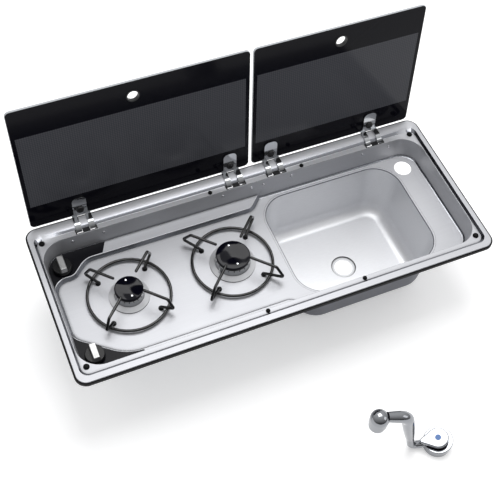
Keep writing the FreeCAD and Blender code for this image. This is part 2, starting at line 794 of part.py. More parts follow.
def burner_cup(x, cap_radius):
    """Mixing cup under the deck, open at the top, with a flange against the deck and a floor hole."""
    outer = cap_radius + head_margin
    low = -sheet - cup_depth
    profile = [(injector_radius, low, 0), (outer * 0.55, low, 4), (outer - cup_wall, -sheet - cup_wall, 1),
               (outer + cup_flange, -sheet - cup_wall, 0), (outer + cup_flange, -sheet, 0),
               (outer - cup_wall, -sheet, 0), (outer * 0.55 - cup_wall, low + cup_wall, 3),
               (injector_radius, low + cup_wall, 0)]
    return turned(profile, x, burner_y, deck_z)


def injectors():
    """Brass injectors screwed into the cups' floors."""
    low = deck_z - sheet - cup_depth
    profile = [(0, -injector_length, 0), (injector_radius + 2, -injector_length, 1), (injector_radius + 2, 0, 0),
               (injector_radius, 0, 0), (injector_radius, 6, 1.5), (0, 6, 0)]
    return Part.makeCompound([turned(profile, x, burner_y, low) for x, _ in burners])


def probes(angle):
    """Slim upright probe beside each burner head, standing on its trim ring."""
    solids = []
    for x, cap_radius in burners:
        away = cap_radius + head_margin + probe_gap
        px = x + away * math.cos(math.radians(angle))
        py = burner_y + away * math.sin(math.radians(angle))
        foot = probe_radius + 0.8
        profile = [(0, ring_collar, 0), (foot, ring_collar, 0), (foot, ring_collar + 4, 0.5),
                   (probe_radius, ring_collar + 4, 0), (probe_radius, probe_top, 1.0), (0, probe_top, 0)]
        solids.append(turned(profile, px, py, deck_z))
    return Part.makeCompound(solids)


def support_finger(tip, knee, elbow, angle, x):
    """One bent wire finger: a pin in the bush, a leg rising over the ring, a slanted end and a level upper run."""
    path = [V(foot_radius, 0, foot_gap), V(foot_radius, 0, finger_pin_height), V(knee, 0, finger_knee_height),
            V(elbow, 0, finger_top), V(tip, 0, finger_top)]
    wire = tube(path, finger_wire, finger_bend)
    end = Part.makeSphere(finger_wire, V(tip, 0, finger_top))
    finger = wire.fuse(end)
    finger.rotate(V(0, 0, 0), ALONG_Z, angle)
    finger.translate(V(x, burner_y, deck_z))
    return finger


def pan_support(x, tip, knee, elbow):
    """Black wire trivet: a ring with four welded fingers on the diagonals."""
    ring = Part.makeTorus(support_ring_radius, support_ring_wire, V(x, burner_y, deck_z + support_ring_height), ALONG_Z)
    fingers = [support_finger(tip, knee, elbow, 45 + 90 * i, x) for i in range(4)]
    return ring.multiFuse(fingers)


def support_studs():
    """Rubber bushes on the deck that hold the pins of the trivets' fingers."""
    bore = finger_wire + bush_clearance
    profile = [(bore, 0, 0), (bush_radius, 0, 0), (bush_radius, bush_height, 1.2), (bore, bush_height, 0)]
    reach = foot_radius / math.sqrt(2)
    return Part.makeCompound([turned(profile, x + sx * reach, burner_y + sy * reach, deck_z)
                              for x, _ in burners for sx in (-1, 1) for sy in (-1, 1)])


def control_panel(y, towards_front):
    """Black printed panel on a knob ledge, cut to the ledge's outline with a slanted end and a spindle hole."""
    ledge = prism(island_corners, knob_z, knob_z + panel_film, -step_run - step_radius)
    share = knob_ledge_height / (deck_depth - ledge_drop)
    walls = (wall_side, wall_front, wall_back)
    margins = [margin - share * wall for margin, wall in zip(deck_margins, walls)]
    corner = deck_corner + share * (recess_corner - deck_corner)
    inside = prism(inner_frame(*margins, corner), knob_z, knob_z + panel_film, -panel_margin)
    wall = deck_front if towards_front else deck_back
    way = 1 if towards_front else -1
    reach = way * (y - wall) + panel_tip
    end = knob_x + panel_length
    points = [(-half_length, -panel_tip), (end + panel_slant * panel_tip, -panel_tip),
              (end - panel_slant * reach, reach), (-half_length, reach)]
    zone = Part.makePolygon([V(px, wall + way * py, knob_z) for px, py in points + points[:1]])
    film = ledge.common(inside).common(Part.Face(zone).extrude(V(0, 0, panel_film)))
    return film.cut(cylinder(spindle_hole_radius, 2, knob_x, y, knob_z - 1)).Solids[0]


dial_low = knob_z + panel_film + dial_gap
dial_top = dial_low + dial_height
valve_top = knob_z - sheet
valve_low = valve_top - valve_neck_length - valve_length


def knob_dial(y):
    """Black round dial, hollow below, with a bore for the spindle."""
    profile = [(spindle_radius, 2, 0), (dial_radius - 2, 2, 1), (dial_radius - 2, 0, 0), (dial_radius, 0, 0.5),
               (dial_radius - 1, dial_height, 1.5), (spindle_radius, dial_height, 0)]
    return turned(profile, knob_x, y, dial_low)


def knob_bar(y):
    """Silver grip bar across the dial with round ends and a crowned top."""
    half = bar_length / 2
    wide = bar_width / 2
    foot = outline([(knob_x + wide, y - half, 3), (knob_x + wide, y + half, 3), (knob_x - wide, y + half, 3),
                    (knob_x - wide, y - half, 3)], dial_top)
    head = outline([(knob_x + wide, y - half, 3), (knob_x + wide, y + half, 3), (knob_x - wide, y + half, 3),
                    (knob_x - wide, y - half, 3)], dial_top + bar_height, -1.2)
    bar = loft(foot, head)
    return bar.makeFillet(1.5, edges_at(bar, dial_top + bar_height))


def valve_spindle(y):
    """Turning spindle from inside the valve up into the dial."""
    low = valve_top - valve_neck_length
    return cylinder(spindle_radius, dial_top - low, knob_x, y, low)


def valve_sleeve(y):
    """Sprung sleeve that slides in the valve's neck and carries the spindle."""
    low = valve_top - valve_neck_length
    inner = spindle_radius + running_clearance
    height = valve_neck_length - 1
    return cylinder(inner + sleeve_wall, height, knob_x, y, low).cut(cylinder(inner, height, knob_x, y, low))


def gas_valve(y):
    """Cast valve body under the ledge with a bored neck, a round chamber and an outlet nipple."""
    low = valve_low
    neck = cylinder(valve_neck_radius, valve_neck_length, knob_x, y, valve_top - valve_neck_length)
    body = cylinder(valve_radius, valve_length, knob_x, y, low)
    body = body.makeChamfer(1.5, edges_at(body, low))
    saddle = block(knob_x, knob_x + manifold_offset, y - manifold_radius * 2, y + manifold_radius * 2,
                   manifold_z - manifold_radius * 2, manifold_z + manifold_radius * 2)
    valve = fused([neck, body, saddle])
    bore = spindle_radius + 2 * running_clearance + sleeve_wall
    deep = valve_neck_length + knob_push + 2
    valve = valve.cut(cylinder(bore, deep, knob_x, y, valve_top - deep))
    return valve.cut(cylinder(manifold_radius, 8 * manifold_radius, manifold_x, y - 4 * manifold_radius, manifold_z,
                              V(0, 1, 0)))


manifold_x = knob_x + manifold_offset
manifold_z = valve_low + valve_length / 2
tray_x0 = deck_left + tray_inset
tray_y0 = deck_front + tray_inset + 4
tray_y1 = deck_back - 1
tray_low = deck_z - sheet - tray_depth


def gas_manifold():
    """Steel gas pipe that joins both valves and leaves the tray through a round nut as the inlet stub."""
    start = front_knob_y - 3 * manifold_radius
    pipe = cylinder(manifold_radius, tray_y1 + inlet_length - start, manifold_x, start, manifold_z, V(0, 1, 0))
    nut = cylinder(inlet_nut_radius, inlet_nut_length, manifold_x, tray_y1 + tray_gap, manifold_z, V(0, 1, 0))
    return pipe.fuse(nut)


def feed_pipe(y, burner_x):
    """Thin pipe from a valve's underside to a burner's injector."""
    low = deck_z - sheet - cup_depth - injector_length / 2
    under = valve_low - 2 * feed_radius - 1
    inner = 1 if y < burner_y else -1
    path = [V(knob_x, y, valve_low), V(knob_x, y, under - feed_radius), V(knob_x, y + inner * 40, under - feed_radius),
            V(burner_x, burner_y - inner * 30, low), V(burner_x, burner_y - inner * (injector_radius + 2), low)]
    return tube(path, feed_radius, feed_radius * 2)


def burner_tray():
    """Sheet steel tray under the hob, its level upper edge just below the deck."""
    end = right_burner_x + right_cap_radius + head_margin + cup_flange + tray_end
    corners = [(end, tray_y0, tray_corner), (end, tray_y1, tray_corner), (tray_x0, tray_y1, tray_corner),
               (tray_x0, tray_y0, tray_corner)]
    edge = deck_z - sheet - tray_gap
    tray = prism(corners, tray_low, edge).cut(prism(corners, tray_low + tray_sheet, edge, -tray_sheet))
    hole = cylinder(manifold_radius + tray_gap, 8, manifold_x, tray_y1 - 4, manifold_z, V(0, 1, 0))
    return tray.cut(hole)


def at_tap(shape):
    """Moves a piece drawn around the tap's own axis to where the tap stands."""
    shape.rotate(V(0, 0, 0), ALONG_Z, tap_turn)
    shape.translate(V(tap_x, tap_y, ground_z))
    return shape


stub_end = tap_base_radius + tap_stub_length
base_slope = math.degrees(math.atan2(tap_base_high - tap_base_low, 2 * tap_base_radius))
lever_pivot = V(0, 0, lever_pivot_height)


def tap_base():
    """Round chrome foot with a sloped top, a collared stub on its low side and a pocket with the lever's pin."""
    middle = (tap_base_low + tap_base_high) / 2
    body = cylinder(tap_base_radius, 2 * tap_base_high)
    above = block(-2 * tap_base_radius, 2 * tap_base_radius, -2 * tap_base_radius, 2 * tap_base_radius,
                  0, 4 * tap_base_high)
    above.rotate(V(0, 0, 0), V(0, 1, 0), base_slope)
    above.translate(V(0, 0, middle))
    body = body.cut(above)
    body = body.makeFillet(1.5, [e for e in body.Edges if e.BoundBox.XMax - e.BoundBox.XMin > tap_base_radius])
    reach = lever_lug_radius + 3
    wide = lever_lug_width / 2 + lever_side_gap
    body = body.cut(block(-reach, reach, -wide, wide, lever_pivot_height - reach, 2 * tap_base_high))
    pin = cylinder(lever_pin_radius, 2 * wide + 4, 0, -wide - 2, lever_pivot_height, V(0, 1, 0))
    stub = cylinder(tap_stub_radius, tap_stub_length + 6, tap_base_radius - 6, 0, tap_stub_height, ALONG_X)
    collar = cylinder(tap_collar_radius, tap_collar_length + 6, tap_base_radius - 6, 0, tap_stub_height, ALONG_X)
    return at_tap(fused([body, pin, stub, collar]))


def teardrop(tail_radius, nose_radius, spread):
    """Outline around a large and a small circle, a distance apart along x, joined by their tangents."""
    rise = math.asin((tail_radius - nose_radius) / spread)
    across = V(math.sin(rise), math.cos(rise), 0)
    mirrored = V(across.x, -across.y, 0)
    nose = V(spread, 0, 0)
    edges = [
        Part.Arc(across * tail_radius, V(-tail_radius, 0, 0), mirrored * tail_radius).toShape(),
        Part.LineSegment(mirrored * tail_radius, nose + mirrored * nose_radius).toShape(),
        Part.Arc(nose + mirrored * nose_radius, V(spread + nose_radius, 0, 0), nose + across * nose_radius).toShape(),
        Part.LineSegment(nose + across * nose_radius, across * tail_radius).toShape(),
    ]
    return Part.Wire(edges)


def tap_lever():
    """Leaf-shaped lever over the foot, its pointed grip towards the spout, with a lug on the pin below."""
    spread = lever_length - lever_width / 2 - lever_nose_radius
    plate = Part.Face(teardrop(lever_width / 2, lever_nose_radius, spread)).extrude(V(0, 0, lever_thick))
    plate = plate.makeFillet(lever_thick * 0.3, edges_at(plate, lever_thick))
    plate.translate(V(0, 0, lever_rise))
    half = lever_lug_width / 2
    lug = cylinder(lever_lug_radius, lever_lug_width, 0, -half, 0, V(0, 1, 0))
    post = block(-lever_lug_radius, lever_lug_radius, -half, half, 0, lever_rise)
    bore = cylinder(lever_pin_radius + running_clearance, lever_lug_width, 0, -half, 0, V(0, 1, 0))
    return at_tap(lift_lever(fused([plate, lug, post]).cut(bore)))


def lift_lever(shape):
    """Tilts a piece of the lever about the pin and moves it up to it."""
    shape.rotate(V(0, 0, 0), V(0, 1, 0), lever_tilt)
    shape.translate(lever_pivot)
    return shape


def tap_mark():
    """Blue inlay on the lever."""
    return at_tap(lift_lever(cylinder(lever_mark_radius, lever_mark_height, 0, 0, lever_rise + lever_thick)))


def spout_path():
    """Corners of the spout's centre line in the plane of the stub: elbow, bend and the arm's end."""
    lean = math.radians(tap_tube_lean)
    elbow = V(stub_end + tap_elbow_reach, 0, tap_stub_height)
    top = elbow + V(tap_tube_length * math.sin(lean), 0, tap_tube_length * math.cos(lean))
    return elbow, top, top + V(tap_arm_length, 0, tap_arm_rise)


def flared_tube(path, points, inset):
    """Tube of the spout: narrow at the joint, wide before the bend, slimmer at the arm's end."""
    radii = (tap_fitting_radius + 0.6, tap_tube_radius, tap_arm_radius)
    sections = [Part.Wire(Part.makeCircle(radius - inset, point, way)) for radius, (point, way) in zip(radii, points)]
    return path.makePipeShell(sections, True, False)


def tap_spout():
    """Folding spout: socket and elbow on the stub, then a flared tube that bends into a short arm."""
    elbow, top, end = spout_path()
    way = (top - elbow).normalize()
    start = V(tap_base_radius + tap_collar_length + lever_side_gap, 0, tap_stub_height)
    joint = elbow + way * tap_fitting_length
    path = bent_path([joint, top, end], tap_bend)
    wide = top - way * (tap_bend * math.tan(way.getAngle(end - top) / 2))
    points = ((joint, way), (wide, way), (end, end - top))
    fitting = tube([start, elbow, joint], tap_fitting_radius, tap_fitting_bend)
    waterway = tube([start, elbow, joint + way], tap_stub_radius + running_clearance, tap_fitting_bend)
    spout = fused([fitting, flared_tube(path, points, 0)])
    return at_tap(spout.cut(waterway).cut(flared_tube(path, points, tap_wall)))


def nozzle_place():
    """Centre of the nozzle head at the end of the spout's arm."""
    return spout_path()[2] + V(nozzle_radius - 4, 0, 0)


def tap_nozzle():
    """Domed head over a straight collar."""
    place = nozzle_place()
    low = -nozzle_drop
    profile = [(0, low - nozzle_collar_height, 0), (nozzle_collar_radius, low - nozzle_collar_height, 1),
               (nozzle_collar_radius, low, 0), (nozzle_radius, low, 0.6),
               (nozzle_radius, nozzle_radius * 0.75, nozzle_radius * 0.95), (0, nozzle_radius * 0.75, 0)]
    head = turned(profile, place.x, 0, place.z)
    depth = nozzle_collar_height + nozzle_drop
    well = cylinder(aerator_radius, depth, place.x, 0, place.z - depth)
    inlet = Part.makeCylinder(tap_arm_radius - tap_wall, nozzle_radius, spout_path()[2], ALONG_X)
    return at_tap(head.cut(well).cut(inlet)).cut(tap_spout())


def tap_aerator():
    """Perforated insert in the nozzle's mouth."""
    place = nozzle_place()
    low = place.z - nozzle_drop - nozzle_collar_height
    disc = cylinder(aerator_radius, aerator_height, place.x, 0, low)
    holes = [cylinder(1.2, aerator_height, place.x + 7 * math.cos(i * math.pi / 4), 7 * math.sin(i * math.pi / 4), low)
             for i in range(8)]
    return at_tap(disc.cut(Part.makeCompound(holes)))


left_hinges, right_hinges = hinge_xs[:2], hinge_xs[2:]
left_fingers = (left_finger_tip, left_finger_knee, left_finger_elbow)
right_fingers = (right_finger_tip, right_finger_knee, right_finger_elbow)

nodes = {
    "top_panel": top_panel(),
    "sink_bowl": sink_bowl(),
    "rim_gasket": rim_gasket(),
    "lid_bumpers": Part.makeCompound([lid_bumper(*place) for place in bumper_places]),
    "hinge_pins": hinge_pins(),
    "hinge_rivets": hinge_rivets(),
    "left_lid_glass": lid_glass(left_lid_span, left_hinges),
    "right_lid_glass": lid_glass(right_lid_span, right_hinges),
    "left_finger_grommet": finger_grommet(left_lid_span),
    "right_finger_grommet": finger_grommet(right_lid_span),
    "left_lid_screws": lid_screws(left_hinges),
    "right_lid_screws": lid_screws(right_hinges),
    "left_lid_pads": lid_pads(left_hinges),
    "right_lid_pads": lid_pads(right_hinges),
    "cap_rivets": cap_rivets(),
    "burner_injectors": injectors(),
    "spark_electrodes": probes(91),
    "thermocouples": probes(205),
    "pan_support_left": pan_support(left_burner_x, *left_fingers),
    "pan_support_right": pan_support(right_burner_x, *right_fingers),
    "support_studs": support_studs(),
    "control_panel_rear": control_panel(rear_knob_y, False),
    "control_panel_front": control_panel(front_knob_y, True),
    "gas_manifold": gas_manifold(),
    "feed_pipe_left": feed_pipe(front_knob_y, left_burner_x),
    "feed_pipe_right": feed_pipe(rear_knob_y, right_burner_x),
    "burner_tray": burner_tray(),
    "tap_base": tap_base(),
    "tap_lever": tap_lever(),
    "tap_mark": tap_mark(),
    "tap_spout": tap_spout(),
    "tap_nozzle": tap_nozzle(),
    "tap_aerator": tap_aerator(),
}
for number, place in enumerate(hinge_xs, start=1):
    nodes["hinge_housing_%d" % number] = hinge_housing(place)
    nodes["hinge_leaf_%d" % number] = hinge_leaf(place)
for side, (place, size) in zip(("left", "right"), burners):
    nodes["burner_ring_" + side] = burner_ring(place, size)
    nodes["burner_head_" + side] = burner_head(place, size)
    nodes["burner_cap_" + side] = burner_cap(place, size)
    nodes["burner_cup_" + side] = burner_cup(place, size)
for side, place in (("rear", rear_knob_y), ("front", front_knob_y)):
    nodes["knob_dial_" + side] = knob_dial(place)
    nodes["knob_bar_" + side] = knob_bar(place)
    nodes["valve_spindle_" + side] = valve_spindle(place)
    nodes["valve_sleeve_" + side] = valve_sleeve(place)
    nodes["gas_valve_" + side] = gas_valve(place)

os.makedirs("parts", exist_ok=True)
for name, shape in nodes.items():
    print("%-22s valid %s, solids %d, volume %.0f mm3" % (name, shape.isValid(), len(shape.Solids), shape.Volume))
    shape.exportStep("parts/%s.step" % name)
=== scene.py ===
import json
import math

import bmesh
import bpy
import numpy as np
from mathutils import Matrix, Vector


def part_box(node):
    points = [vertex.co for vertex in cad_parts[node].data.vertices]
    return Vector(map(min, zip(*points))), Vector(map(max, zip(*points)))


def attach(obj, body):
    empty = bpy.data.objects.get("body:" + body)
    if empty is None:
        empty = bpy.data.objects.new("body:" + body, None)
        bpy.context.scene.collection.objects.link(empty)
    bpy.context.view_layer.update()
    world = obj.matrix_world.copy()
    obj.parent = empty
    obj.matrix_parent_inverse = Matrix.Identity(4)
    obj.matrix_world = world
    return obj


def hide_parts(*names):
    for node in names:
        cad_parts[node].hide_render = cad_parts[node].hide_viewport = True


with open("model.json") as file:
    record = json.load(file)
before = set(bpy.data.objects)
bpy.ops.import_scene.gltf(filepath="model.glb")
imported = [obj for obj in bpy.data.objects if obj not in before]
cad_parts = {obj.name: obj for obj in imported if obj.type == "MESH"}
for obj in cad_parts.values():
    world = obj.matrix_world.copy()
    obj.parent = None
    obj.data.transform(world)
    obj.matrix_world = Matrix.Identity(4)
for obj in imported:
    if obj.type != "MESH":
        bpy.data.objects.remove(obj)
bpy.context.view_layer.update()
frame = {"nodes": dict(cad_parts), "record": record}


# Pressed top: one sheet of stainless steel, drawn in a press into a flat rim, a ledge, a recess and
# a sunken hob pan. The sheet is cold rolled with a satin finish, its grain running along the
# worktop, and it hangs by its rim in the worktop's cut-out.
def linear(code):
    """sRGB hex code to linear RGBA: a channel c becomes ((c + 0.055) / 1.055) ** 2.4, or c / 12.92
    in the straight toe."""
    channels = np.array([int(code[i:i + 2], 16) / 255 for i in (1, 3, 5)])
    low, high = channels / 12.92, ((channels + 0.055) / 1.055) ** 2.4
    return (*np.where(channels <= 0.04045, low, high).tolist(), 1.0)


def add(tree, kind, settings=None, **sockets):
    """Adds a node. A socket given as (node, output) is linked, and any other value is set on it.
    Sockets that share a name go by their number, such as i6."""
    node = tree.nodes.new(kind)
    for name, value in (settings or {}).items():
        setattr(node, name, value)
    for name, value in sockets.items():
        numbered = name[0] == "i" and name[1:].isdigit()
        key = int(name[1:]) if numbered else name.replace("_", " ")
        if isinstance(value, tuple) and isinstance(value[0], bpy.types.Node):
            tree.links.new(value[0].outputs[value[1]], node.inputs[key])
        else:
            node.inputs[key].default_value = value
    return node


def finish_named(name):
    """New material with an empty tree."""
    material = bpy.data.materials.new(name)
    material.use_nodes = True
    material.node_tree.nodes.clear()
    return material, material.node_tree


# Lengths are in metres. A corner counts as a crease by how much its own walls close it off,
# and painted shade darkens the colour there.
CREASE_REACH, BEND_RADIUS = 0.007, 0.0008
CREASE_SHUT, CREASE_OPEN, CREASE_TONE = 0.66, 0.95, 0.12
CLOUDS_PER_METRE = 9.0  # one cloud of polish is some 110 mm wide
SMOOTHER, ROUGHER = 0.03, 0.04
GRAIN_STRENGTH, GRAIN_DEPTH = 0.06, 0.0002
# A bend is where the surface's upward share lies between that of a wall and that of a level face.
WALL_ENDS, BEND_BEGINS, BEND_ENDS, LEVEL_BEGINS = 0.2, 0.5, 0.93, 0.99
# Bends are painted this darker grey as painted reflection, and made glossier.
BEND_PAINTED_DARK, BEND_ROUGH = "#8a8c92", 0.2


def satin_steel(name, light, dark, rough, grain_length, grain_width, metallic=1.0, glossy_bends_painted_dark=False):
    """Rolled metal: streaks longer than they are wide tint and roughen it, its bends are rounded,
    and painted shade darkens its creases. With glossy bends painted dark, its bends are glossier
    and more metallic, and painted a darker grey as painted reflection. Real rolling marks are some
    0.05 mm wide, and they are drawn as coarse as the render can show."""
    material, tree = finish_named(name)
    place = add(tree, "ShaderNodeTexCoord")
    stretched = add(tree, "ShaderNodeMapping", Vector=(place, "Object"),
                    Scale=(1 / grain_length, 1 / grain_width, 1 / grain_width))
    grain = add(tree, "ShaderNodeTexNoise", Vector=(stretched, "Vector"), Scale=1.0, Detail=3.0)
    cloud = add(tree, "ShaderNodeTexNoise", Vector=(place, "Object"), Scale=CLOUDS_PER_METRE,
                Detail=2.0)
    tint = add(tree, "ShaderNodeMix", {"data_type": "RGBA"}, i0=(grain, "Fac"), i6=linear(dark),
               i7=linear(light))
    # Painted shade: the colour darkens in creases, by how much the surface's own walls close round
    # it.
    nearby = add(tree, "ShaderNodeAmbientOcclusion", {"samples": 8, "only_local": True},
                 Distance=CREASE_REACH)
    crease = add(tree, "ShaderNodeMapRange", Value=(nearby, "AO"), From_Min=CREASE_SHUT,
                 From_Max=CREASE_OPEN, To_Min=CREASE_TONE, To_Max=1.0)
    crease_shaded_tint = add(tree, "ShaderNodeMix", {"data_type": "RGBA", "blend_type": "MULTIPLY"}, i0=1.0,
               i6=(tint, 2), i7=(crease, "Result"))
    polish = add(tree, "ShaderNodeMapRange", Value=(cloud, "Fac"), To_Min=rough - SMOOTHER,
                 To_Max=rough + ROUGHER)
    rounded = add(tree, "ShaderNodeBevel", {"samples": 6}, Radius=BEND_RADIUS)
    relief = add(tree, "ShaderNodeBump", Height=(grain, "Fac"), Strength=GRAIN_STRENGTH,
                 Distance=GRAIN_DEPTH, Normal=(rounded, "Normal"))
    coat, shine, gloss = (crease_shaded_tint, 2), metallic, (polish, "Result")
    if glossy_bends_painted_dark:
        turn = add(tree, "ShaderNodeSeparateXYZ", Vector=(rounded, "Normal"))
        off_wall = add(tree, "ShaderNodeMapRange", Value=(turn, "Z"), From_Min=WALL_ENDS,
                       From_Max=BEND_BEGINS)
        off_level = add(tree, "ShaderNodeMapRange", Value=(turn, "Z"), From_Min=LEVEL_BEGINS,
                        From_Max=BEND_ENDS)
        bend = add(tree, "ShaderNodeMath", {"operation": "MULTIPLY"}, i0=(off_wall, "Result"),
                   i1=(off_level, "Result"))
        # Painted reflection: the bends are painted a darker grey, and made glossier and more
        # metallic.
        painted_dark_bend = add(tree, "ShaderNodeMix", {"data_type": "RGBA"}, i0=(bend, "Value"),
                     i6=(crease_shaded_tint, 2), i7=linear(BEND_PAINTED_DARK))
        bare = add(tree, "ShaderNodeMapRange", Value=(bend, "Value"), To_Min=metallic, To_Max=1.0)
        sleek = add(tree, "ShaderNodeMix", {"data_type": "FLOAT"}, i0=(bend, "Value"),
                    i2=(polish, "Result"), i3=BEND_ROUGH)
        coat, shine, gloss = (painted_dark_bend, 2), (bare, "Result"), (sleek, 0)
    metal = add(tree, "ShaderNodeBsdfPrincipled", Base_Color=coat, Metallic=shine, Roughness=gloss,
                Normal=(relief, "Normal"))
    add(tree, "ShaderNodeOutputMaterial", Surface=(metal, "BSDF"))
    return material


SAME_POINT = 2e-6
SHARP = math.radians(34.0)
LARGE_FACES_FIRST = 100
record = frame["record"]
body_of = {node: body for body, nodes in record["behaviour"]["bodies"].items() for node in nodes}


def dressed(node, material):
    """Copy of a solid's surface with its corners joined, shaded round where neighbouring faces turn
    by less than the sharp angle, its normals weighted by face area so that flat faces stay flat."""
    mesh = frame["nodes"][node].data.copy()
    surface = bmesh.new()
    surface.from_mesh(mesh)
    bmesh.ops.remove_doubles(surface, verts=surface.verts, dist=SAME_POINT)
    for face in surface.faces:
        face.smooth = True
    for edge in surface.edges:
        edge.smooth = edge.calc_face_angle(0.0) < SHARP
    surface.to_mesh(mesh)
    surface.free()
    mesh.materials.clear()
    mesh.materials.append(material)
    piece = bpy.data.objects.new(node + "_surface", mesh)
    bpy.context.scene.collection.objects.link(piece)
    weighted = piece.modifiers.new("even_faces", "WEIGHTED_NORMAL")
    weighted.keep_sharp = True
    weighted.weight = LARGE_FACES_FIRST
    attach(piece, body_of[node])
    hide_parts(node)
    return piece


# Cold-rolled stainless with a satin grain: broad soft highlights drawn out along the worktop,
# dark lines of painted shade in the corners, and glossier bends painted darker as painted
# reflection.
satin_sheet = satin_steel("cold_rolled_stainless_sheet", light="#c4c5c9", dark="#b7b8bc",
                          rough=0.48, grain_length=0.06, grain_width=0.0007, metallic=0.62,
                          glossy_bends_painted_dark=True)
dressed("top_panel", satin_sheet)


# Sink bowl: a deep-drawn stainless shell, welded flush into the top and ground along the seam, so
# that its flange looks like the sheet around it. Its outside is painted a dull dark grey as painted
# shade, and the bend at its mouth as a painted dark reflection.
FLANGE_SKIN, MOUTH_BEND = 0.0001, 0.003
LEVEL_FACE, RISING_FACE = 0.99, 0.1
WALLS, PAINTED_SHADE, SHEET = 0, 1, 2  # the bowl's materials, in the order in which they are put on


def of_faces(piece, measure):
    """Normals or centres of a piece's faces, one row of x, y and z for each face."""
    values = np.zeros(len(piece.data.polygons) * 3)
    piece.data.polygons.foreach_get(measure, values)
    return values.reshape(-1, 3)


def paint_faces(piece, choice):
    """Gives each face of a piece the material whose number stands in its row, where true counts as
    1 and false as 0."""
    piece.data.polygons.foreach_set("material_index", choice.astype(np.int32))


# Drawn stainless: paler than the sheet, with a soft bright bend round the floor and up the corners.
drawn_steel = satin_steel("deep_drawn_stainless_bowl", light="#e6e7ea", dark="#dddee1", rough=0.42,
                          grain_length=0.012, grain_width=0.003, metallic=0.65)
# Painted shade and reflection: a dull dark grey with hardly any gloss, on the bowl's outside and
# the bend at its mouth.
bowl_painted_shade = satin_steel("dull_painted_shade_steel", light="#6d6f76", dark="#64666d", rough=0.45,
                           grain_length=0.012, grain_width=0.003, metallic=0.5)
bowl = dressed("sink_bowl", drawn_steel)
bowl.data.materials.append(bowl_painted_shade)
bowl.data.materials.append(satin_sheet)
low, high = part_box("sink_bowl")
heart = np.array([(low.x + high.x) / 2, (low.y + high.y) / 2, high.z])
normals, middles = of_faces(bowl, "normal"), of_faces(bowl, "center")
outside = np.einsum("ij,ij->i", normals, middles - heart) > 0
flange = (middles[:, 2] > high.z - FLANGE_SKIN) & (normals[:, 2] > LEVEL_FACE)
mouth = (middles[:, 2] > high.z - MOUTH_BEND) & (normals[:, 2] > RISING_FACE)
# Painted shade on the outside faces and painted dark reflection on the mouth's bend.
paint_faces(bowl, np.where(flange, SHEET, np.where(mouth | outside, PAINTED_SHADE, WALLS)))


# Rim gasket and lid bumpers: black rubber. The gasket is extruded and runs under the rim, which it
# seals on the worktop. The bumpers are moulded domes pushed into the ledge for the lids to lie on.
MOULD_SPREAD, MOULD_DEPTH = 0.06, 0.0003


def moulded(name, colour, rough, grain, strength, specular=0.5):
    """Moulded plastic or rubber: a fine even noise as moulding texture over one body colour. Real
    texture is some 0.1 mm wide, and it is drawn ten to twenty times as coarse."""
    material, tree = finish_named(name)
    place = add(tree, "ShaderNodeTexCoord")
    texture = add(tree, "ShaderNodeTexNoise", Vector=(place, "Object"), Scale=1 / grain, Detail=2.0)
    shade = add(tree, "ShaderNodeMapRange", Value=(texture, "Fac"), To_Min=rough - MOULD_SPREAD,
                To_Max=rough + MOULD_SPREAD)
    relief = add(tree, "ShaderNodeBump", Height=(texture, "Fac"), Strength=strength,
                 Distance=MOULD_DEPTH)
    body = add(tree, "ShaderNodeBsdfPrincipled", Base_Color=linear(colour),
               Roughness=(shade, "Result"), Specular_IOR_Level=specular, Normal=(relief, "Normal"))
    add(tree, "ShaderNodeOutputMaterial", Surface=(body, "BSDF"))
    return material


# Carbon-black rubber: nearly black and dull, with only a faint sheen on its domes.
black_rubber = moulded("moulded_black_rubber", "#050506", rough=0.55, grain=0.0012, strength=0.25,
                       specular=0.15)
dressed("rim_gasket", black_rubber)
dressed("lid_bumpers", black_rubber)


# Lids: panes of tempered grey glass, printed black on the back along their edges, with a dot raster
# in the middle. Their ground edges show light, because light runs along inside the pane. Black
# nylon grommets line the finger holes, and nylon pads behind the glass take the hinge screws.
LEAN = math.radians(6.8)
PANE_FOOT_Y, PANE_FOOT_Z = 0.186, 0.0106
PRINT_FOOT, PRINT_HEAD, PRINT_SIDE = 0.057, 0.242, 0.008
PRINT, RASTER_LIGHT, RASTER_DARK = "#0b0b12", "#4f5055", "#3f4045"
DOT_SPACING, DOT_CORE, DOT_RIM = 0.0045, 0.2, 0.6
EDGE_GREY, EDGE_SMOOTH, EDGE_ROUGH = "#aeb1b5", 0.25, 0.45
GRIT_PER_METRE = 1200.0  # grinding marks are some 0.1 mm wide and are drawn at 0.8 mm
ACROSS_PANE = np.array([0.0, math.cos(LEAN), -math.sin(LEAN)])
PANE_FACE = 0.9


